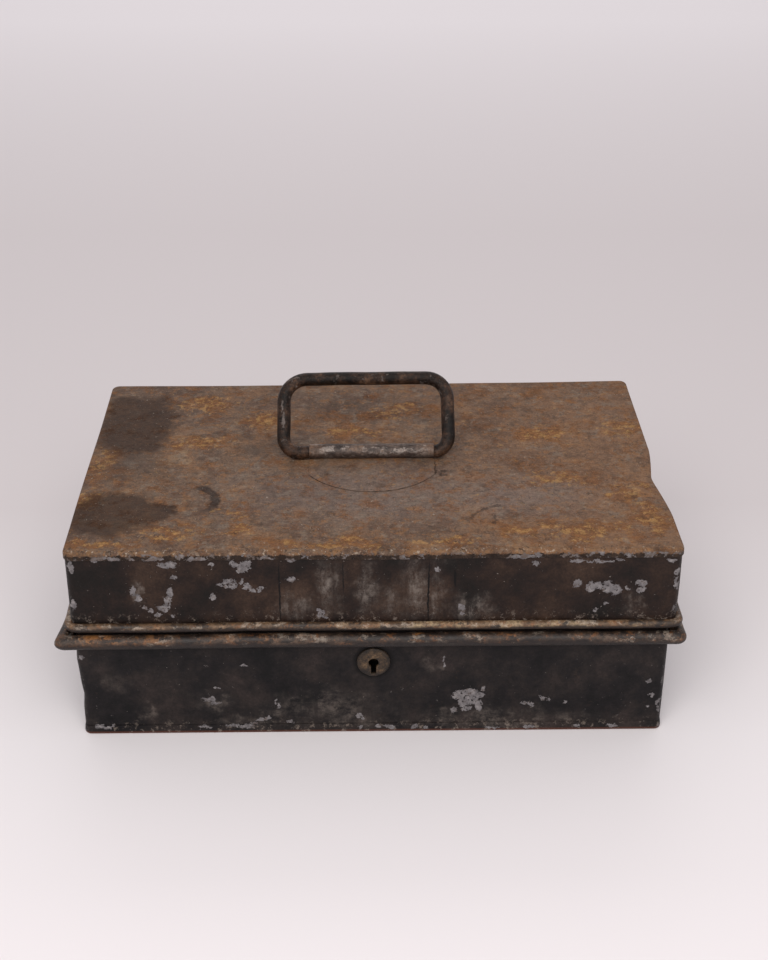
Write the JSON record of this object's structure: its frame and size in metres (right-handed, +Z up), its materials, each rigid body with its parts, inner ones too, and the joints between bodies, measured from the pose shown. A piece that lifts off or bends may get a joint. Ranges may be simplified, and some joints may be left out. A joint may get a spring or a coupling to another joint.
{
  "type": "tin cash box",
  "caption": "Rectangular japanned tinplate cash box with a hinged lid, wired rims, a drop handle, a keyed slide-bolt lock and a lift-out coin tray.",
  "frame": {"origin": "centre of the underside, on the surface that the box stands on, under the middle of the body walls", "axes": "+X to the right of someone facing the keyhole, along the box's width; +Y from the front to the hinges at the back; +Z up"},
  "size_m": [0.305, 0.1987, 0.1461],
  "materials": {
    "black_japan": "worn satin",
    "worn_brown_japan": "matte, rusting",
    "handle_black": "worn satin",
    "bare_steel": "dull, tarnished",
    "dull_brass": "tarnished",
    "red_enamel": "faded satin"
  },
  "bodies": {
    "box": {"body_walls": "black_japan", "bottom_panel": "black_japan", "rim_bead": "worn_brown_japan", "rim_wire": "bare_steel", "escutcheon": "dull_brass", "lock_case": "bare_steel", "drill_pin": "bare_steel", "guide_stud": "bare_steel", "lock_ward": "dull_brass", "bolt_spring": "bare_steel", "tray_ledge_left": "bare_steel", "tray_ledge_right": "bare_steel", "hinge_body_leaf_left": "black_japan", "hinge_body_leaf_right": "black_japan", "hinge_pin_left": "bare_steel", "hinge_pin_right": "bare_steel", "hinge_body_rivets": "black_japan"},
    "bolt": {"lock_bolt": "dull_brass"},
    "lid": {"lid_walls": "black_japan", "lid_wire": "bare_steel", "lid_panel": "worn_brown_japan", "handle_plate": "worn_brown_japan", "lid_staple": "bare_steel", "hinge_lid_leaf_left": "black_japan", "hinge_lid_leaf_right": "black_japan", "hinge_lid_rivets": "black_japan"},
    "handle": {"carry_handle": "handle_black"},
    "tray": {"tray_floor": "red_enamel", "tray_walls": "red_enamel", "tray_long_divider": "red_enamel", "tray_cross_dividers": "red_enamel"}
  },
  "joints": [
    {"name": "lid_hinge", "type": "hinge", "parent": "box", "child": "lid", "pos_m": [0, 0.0996, 0.0626], "axis": [-1, 0, 0], "range_deg": [0, 110]},
    {"name": "handle_swing", "type": "hinge", "parent": "lid", "child": "handle", "pos_m": [0, 0.0016, 0.11225], "axis": [1, 0, 0], "range_deg": [-50, 128]},
    {"name": "bolt_slide", "type": "slide", "parent": "box", "child": "bolt", "axis": [1, 0, 0], "range_m": [0, 0.0045]},
    {"name": "tray_lift", "type": "slide", "parent": "box", "child": "tray", "axis": [0, 0, 1], "range_m": [0, 0.03]}
  ]
}
